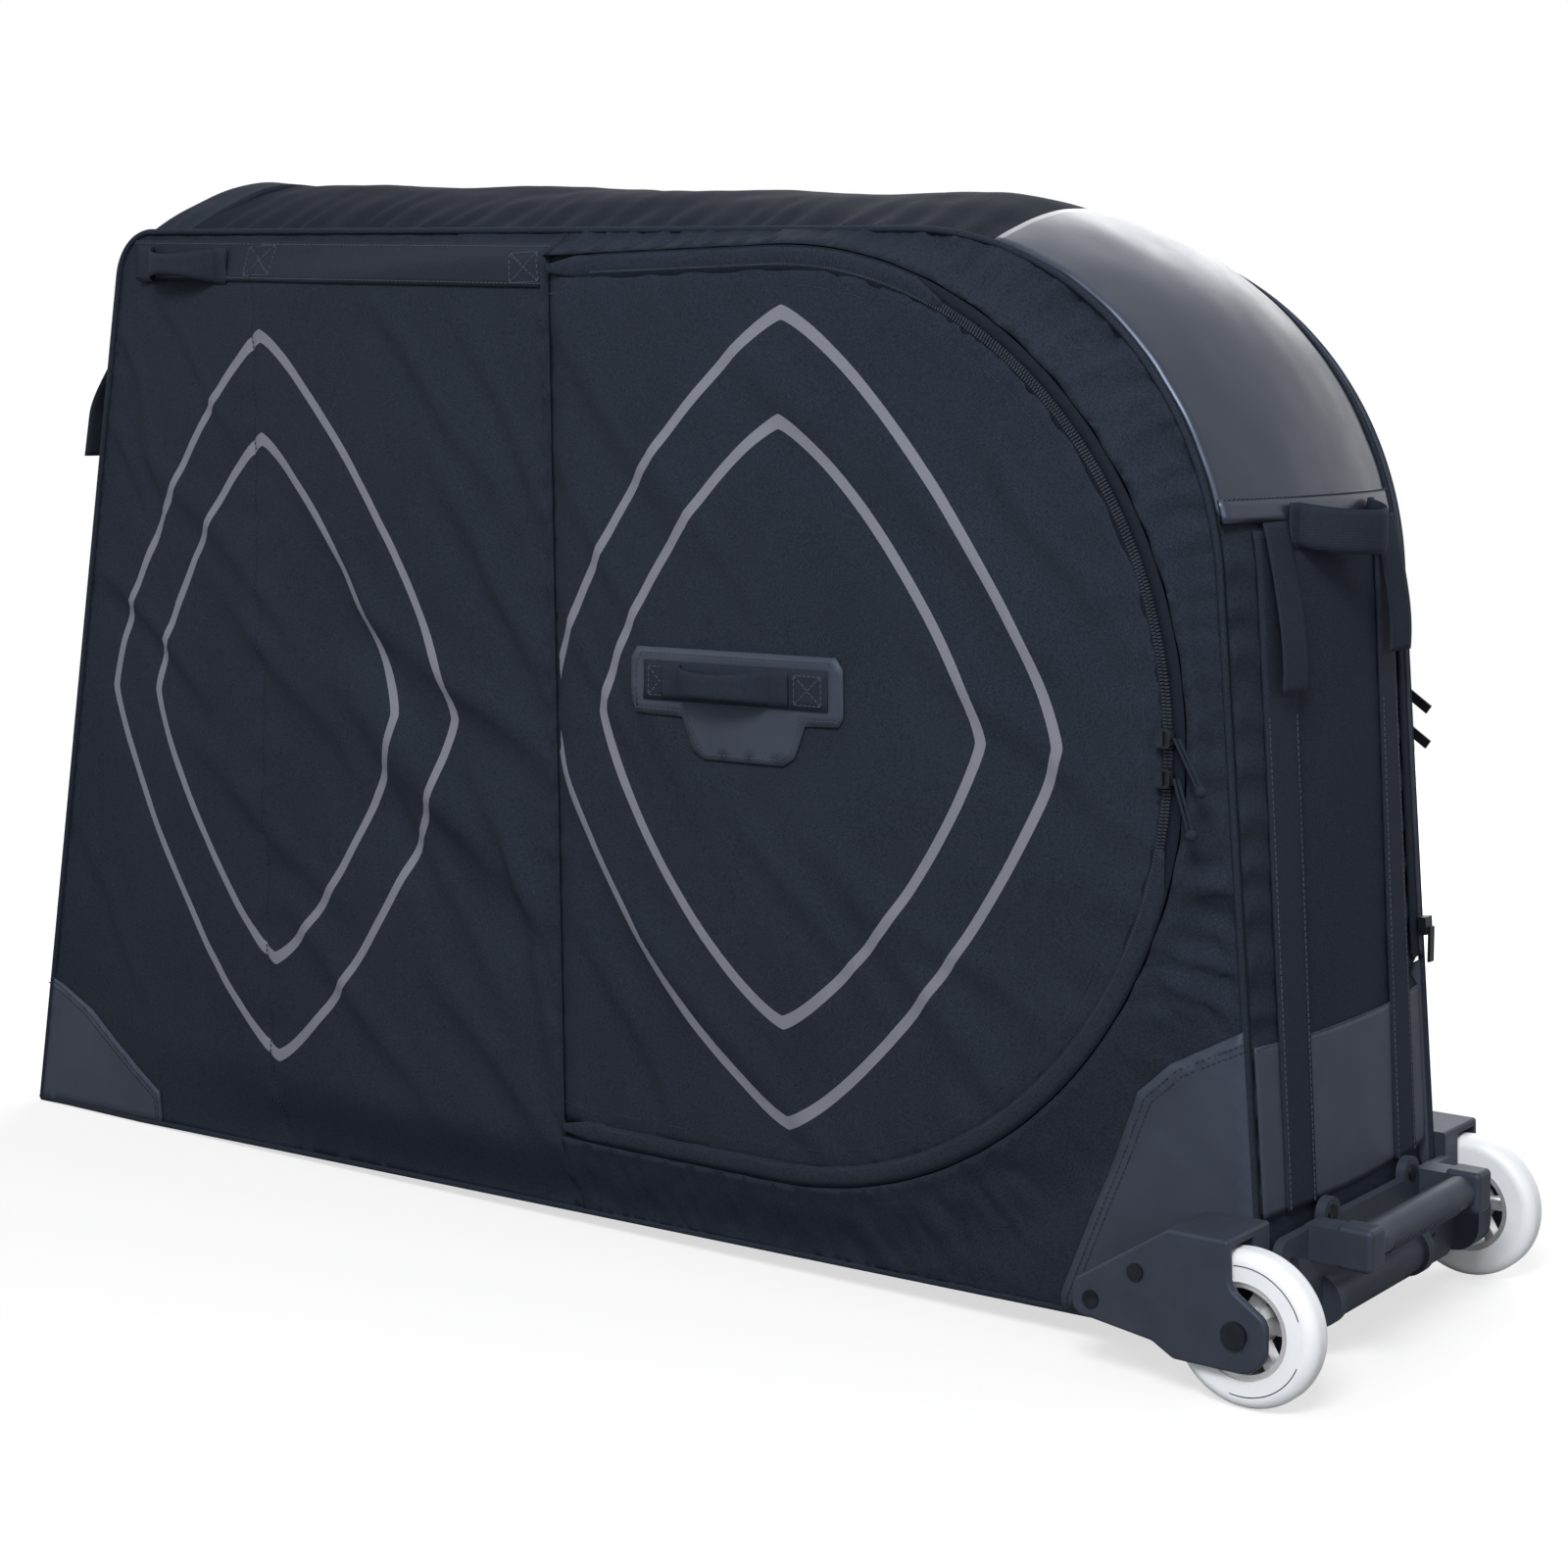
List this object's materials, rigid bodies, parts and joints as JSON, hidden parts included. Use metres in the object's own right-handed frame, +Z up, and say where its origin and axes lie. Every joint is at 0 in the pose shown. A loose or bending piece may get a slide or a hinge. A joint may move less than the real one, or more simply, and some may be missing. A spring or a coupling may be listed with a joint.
{
  "type": "bike travel bag",
  "caption": "Soft padded travel bag for a bicycle, with round zipped wheel pockets in its sides, a fold-down side, a moulded rear carrier with a grip and wheels at one end.",
  "frame": {"origin": "on the floor under the middle of the bag's length and width", "axes": "+X along the length towards the wheels and the carrier, +Y towards the side that folds down, +Z up"},
  "size_m": [1.3599, 0.39, 0.8459],
  "materials": {
    "body_fabric": "fine woven, matte",
    "liner_fabric": "plain lining",
    "coated_fabric": "smooth coated, matte",
    "hood_tarpaulin": "coated, glossy",
    "webbing": "ribbed webbing",
    "zip_tape": "woven tape with coil",
    "slider_metal": "satin black",
    "pull_cord": "braided",
    "carrier_plastic": "fine grain",
    "board_plastic": "plain",
    "foam": "covered foam",
    "tyre_white": "cast, satin",
    "hub_aluminium": "turned",
    "steel": "plated"
  },
  "bodies": {
    "case": {"base_panel": "body_fabric", "front_panel": "body_fabric", "top_panel": "body_fabric", "hood_panel": "hood_tarpaulin", "end_panel": "body_fabric", "end_straps": "webbing", "end_patch": "coated_fabric", "main_zip_tape": "zip_tape", "near_side_panel": "body_fabric", "near_pocket_liner": "liner_fabric", "near_pocket_zip_tape": "zip_tape", "near_corner_patches": "coated_fabric", "far_sill_panel": "body_fabric", "end_handle": "webbing", "front_handle": "webbing", "near_side_strip": "webbing", "near_side_handle": "webbing", "axle_bolts": "steel", "wheel_spacers": "steel", "near_bracket": "carrier_plastic", "far_bracket": "carrier_plastic", "bracket_rivets": "steel", "rear_carrier": "carrier_plastic", "carrier_rivets": "steel", "base_board": "board_plastic", "frame_pad": "foam", "stiffener_tubes": "board_plastic"},
    "near_wheel": {"near_tyre": "tyre_white", "near_hub": "hub_aluminium", "near_bearings": "steel"},
    "far_wheel": {"far_tyre": "tyre_white", "far_hub": "hub_aluminium", "far_bearings": "steel"},
    "near_pocket_flap": {"near_flap_panel": "body_fabric", "near_flap_zip_tape": "zip_tape", "near_flap_patch": "coated_fabric", "near_flap_handle": "webbing"},
    "near_upper_pull": {"near_upper_slider": "slider_metal", "near_upper_cord": "pull_cord", "near_upper_knot": "pull_cord"},
    "near_lower_pull": {"near_lower_slider": "slider_metal", "near_lower_cord": "pull_cord", "near_lower_knot": "pull_cord"},
    "side_flap": {"far_side_panel": "body_fabric", "far_pocket_liner": "liner_fabric", "far_pocket_zip_tape": "zip_tape", "main_zip_coil": "zip_tape", "far_side_strip": "webbing", "far_side_handle": "webbing"},
    "far_pocket_flap": {"far_flap_panel": "body_fabric", "far_flap_zip_tape": "zip_tape", "far_flap_patch": "coated_fabric", "far_flap_handle": "webbing"},
    "far_upper_pull": {"far_upper_slider": "slider_metal"},
    "far_lower_pull": {"far_lower_slider": "slider_metal"},
    "main_pull": {"main_zip_slider": "slider_metal"}
  },
  "joints": [
    {"name": "near_wheel_spin", "type": "hinge", "parent": "case", "child": "near_wheel", "pos_m": [0.627, -0.172, 0.053], "axis": [0, 1, 0], "continuous": true},
    {"name": "far_wheel_spin", "type": "hinge", "parent": "case", "child": "far_wheel", "pos_m": [0.627, 0.172, 0.053], "axis": [0, 1, 0], "continuous": true},
    {"name": "near_pocket_open", "type": "hinge", "parent": "case", "child": "near_pocket_flap", "pos_m": [0.015, -0.1646, 0.42], "axis": [0, 0, -1], "range_deg": [0, 150]},
    {"name": "side_flap_open", "type": "hinge", "parent": "case", "child": "side_flap", "pos_m": [0, 0.1333, 0.034], "axis": [-1, 0, 0], "range_deg": [0, 80]},
    {"name": "far_pocket_open", "type": "hinge", "parent": "side_flap", "child": "far_pocket_flap", "pos_m": [0.015, 0.1646, 0.42], "axis": [0, 0, 1], "range_deg": [0, 150]},
    {"name": "near_upper_zip", "type": "hinge", "parent": "near_pocket_flap", "child": "near_upper_pull", "pos_m": [0.23, -0.17, 0.42], "axis": [0, -1, 0], "range_deg": [0, 85]},
    {"name": "near_lower_zip", "type": "hinge", "parent": "near_pocket_flap", "child": "near_lower_pull", "pos_m": [0.23, -0.17, 0.42], "axis": [0, 1, 0], "range_deg": [0, 85]},
    {"name": "far_upper_zip", "type": "hinge", "parent": "far_pocket_flap", "child": "far_upper_pull", "pos_m": [0.23, 0.17, 0.42], "axis": [0, -1, 0], "range_deg": [0, 85]},
    {"name": "far_lower_zip", "type": "hinge", "parent": "far_pocket_flap", "child": "far_lower_pull", "pos_m": [0.23, 0.17, 0.42], "axis": [0, 1, 0], "range_deg": [0, 85]},
    {"name": "main_zip_run", "type": "slide", "parent": "side_flap", "child": "main_pull", "axis": [-0.0789, 0, 0.9969], "range_m": [0, 0.245]}
  ]
}
